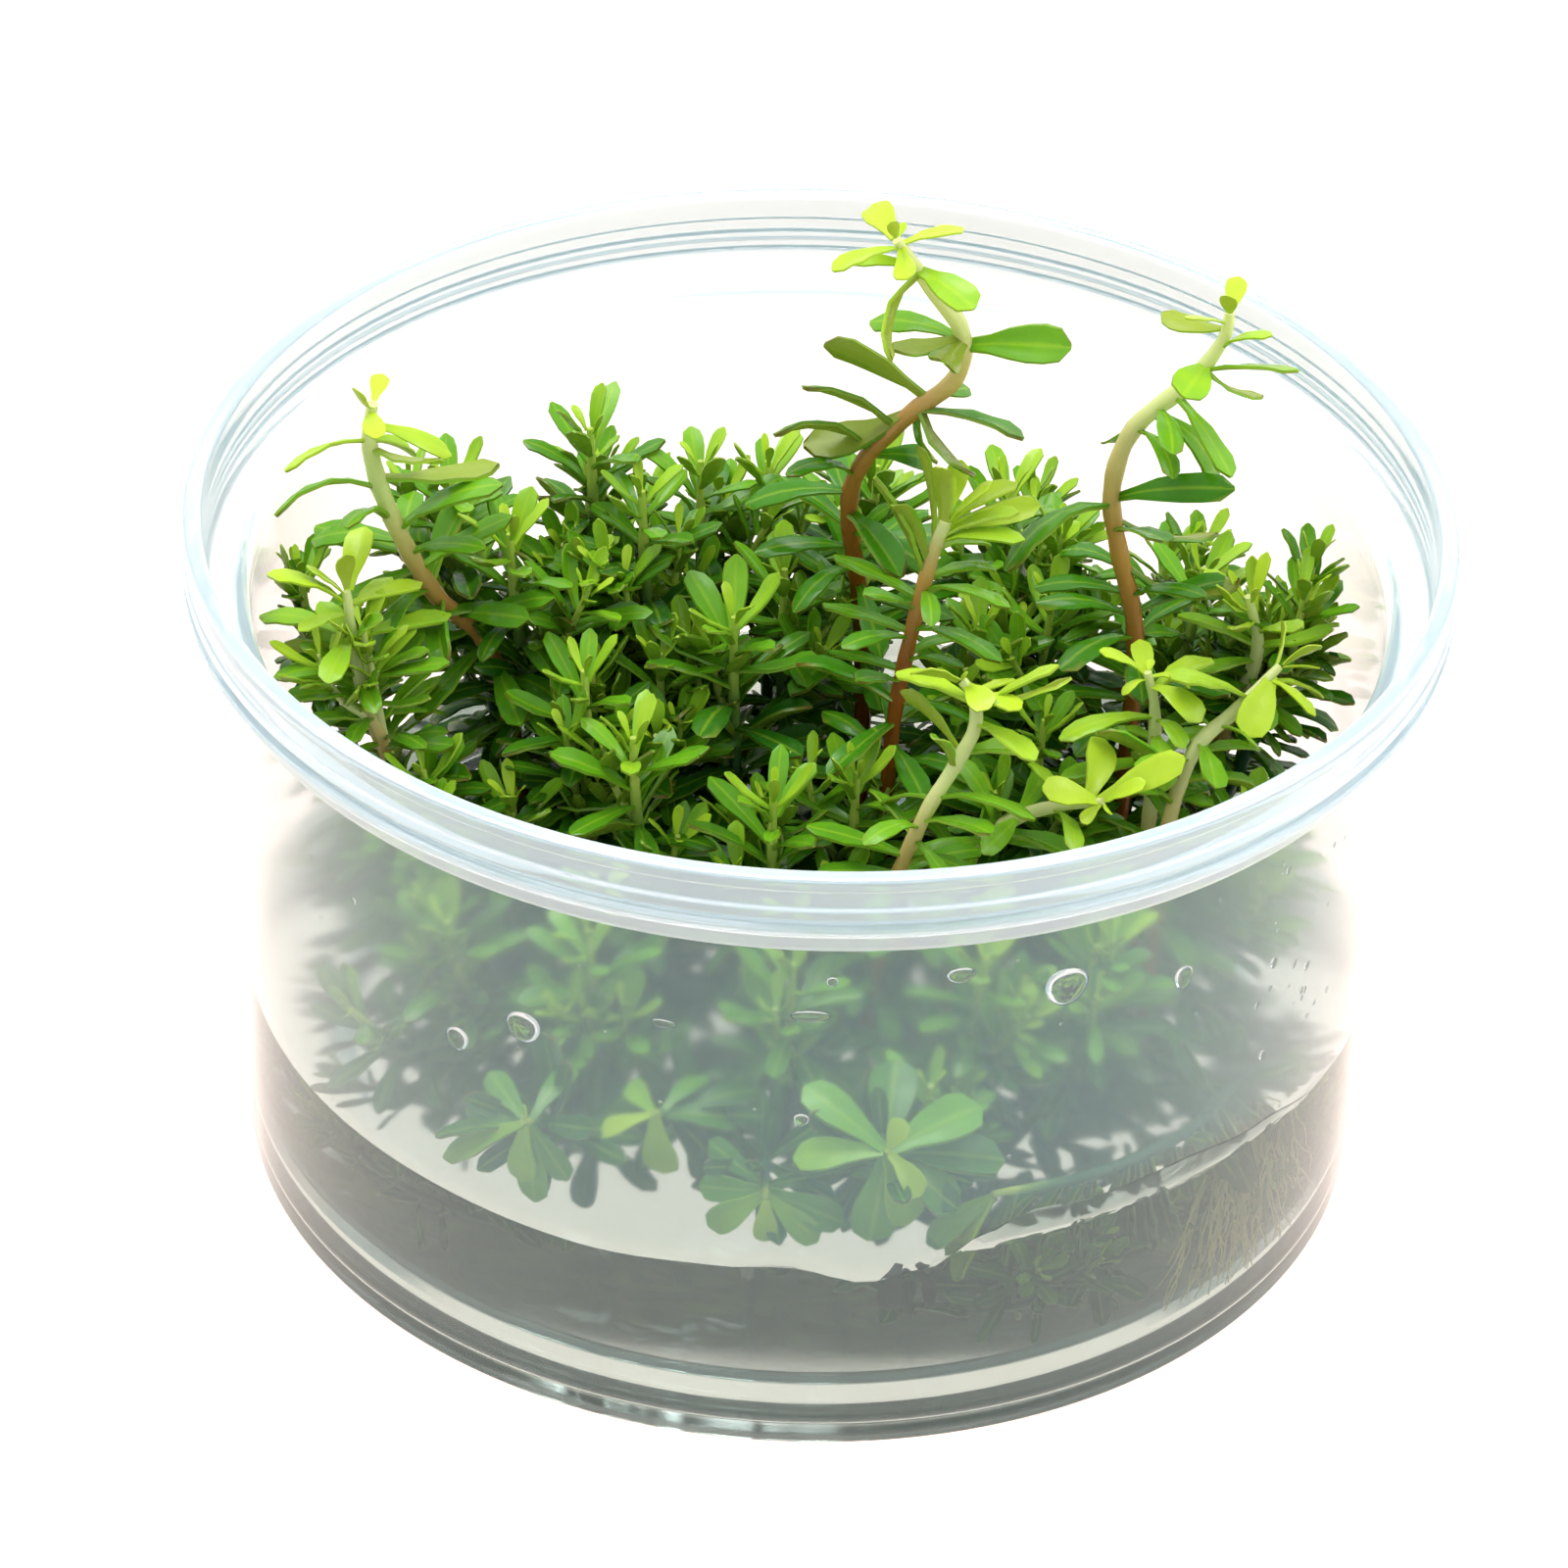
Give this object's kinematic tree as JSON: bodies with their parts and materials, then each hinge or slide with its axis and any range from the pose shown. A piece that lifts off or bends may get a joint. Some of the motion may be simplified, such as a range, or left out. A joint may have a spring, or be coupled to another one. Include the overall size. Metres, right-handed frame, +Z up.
{
  "type": "tissue culture rotala macrandra in a cup",
  "caption": "Clear moulded cup with a lid rim, holding shallow clear liquid and a dense clump of young leafy green aquarium shoots that rise over its rim.",
  "frame": {"origin": "centre of the cup's base ring, on the surface that the cup stands on", "axes": "+Z up out of the cup's mouth, -Y towards the picture's camera, +X to its right"},
  "size_m": [0.101, 0.101, 0.0838],
  "materials": {
    "clear_plastic": "clear moulded polypropylene, slightly milky",
    "nutrient_liquid": "clear still liquid",
    "leaf_green": "glossy green leaf with a paler stem",
    "young_leaf_green": "glossy yellow green young leaf with a pale to orange brown stem",
    "root_straw": "fine pale roots"
  },
  "bodies": {
    "root": {"cup": "clear_plastic", "nutrient_liquid": "nutrient_liquid", "root_tuft": "root_straw", "shoot_back_1": "leaf_green", "shoot_back_2": "leaf_green", "shoot_back_3": "leaf_green", "shoot_back_4": "leaf_green", "shoot_back_5": "leaf_green", "shoot_back_6": "leaf_green", "shoot_back_7": "leaf_green", "shoot_curled_tip": "young_leaf_green", "shoot_front_1": "leaf_green", "shoot_front_2": "leaf_green", "shoot_front_3": "leaf_green", "shoot_front_4": "leaf_green", "shoot_front_5": "leaf_green", "shoot_front_6": "leaf_green", "shoot_front_7": "leaf_green", "shoot_front_arching": "young_leaf_green", "shoot_left_1": "leaf_green", "shoot_left_2": "leaf_green", "shoot_left_3": "leaf_green", "shoot_left_4": "leaf_green", "shoot_left_5": "leaf_green", "shoot_left_6": "leaf_green", "shoot_left_7": "leaf_green", "shoot_left_rim": "young_leaf_green", "shoot_middle_1": "leaf_green", "shoot_middle_2": "leaf_green", "shoot_middle_3": "leaf_green", "shoot_middle_4": "leaf_green", "shoot_middle_5": "leaf_green", "shoot_middle_6": "leaf_green", "shoot_middle_7": "leaf_green", "shoot_middle_8": "leaf_green", "shoot_middle_9": "leaf_green", "shoot_middle_upright": "young_leaf_green", "shoot_right_1": "leaf_green", "shoot_right_2": "leaf_green", "shoot_right_3": "leaf_green", "shoot_right_4": "leaf_green", "shoot_right_5": "leaf_green", "shoot_right_6": "leaf_green", "shoot_right_7": "leaf_green", "shoot_right_bright": "young_leaf_green", "shoot_right_leaning": "young_leaf_green", "shoot_right_rim": "young_leaf_green", "shoot_tall_centre": "young_leaf_green", "shoot_tall_left": "young_leaf_green", "shoot_tall_right": "young_leaf_green", "shoot_wall_front": "leaf_green", "shoot_wall_front_left": "leaf_green", "shoot_wall_left": "leaf_green", "shoot_wall_low": "leaf_green", "shoot_wall_lying": "leaf_green", "shoot_waterline": "leaf_green"}
  },
  "joints": []
}
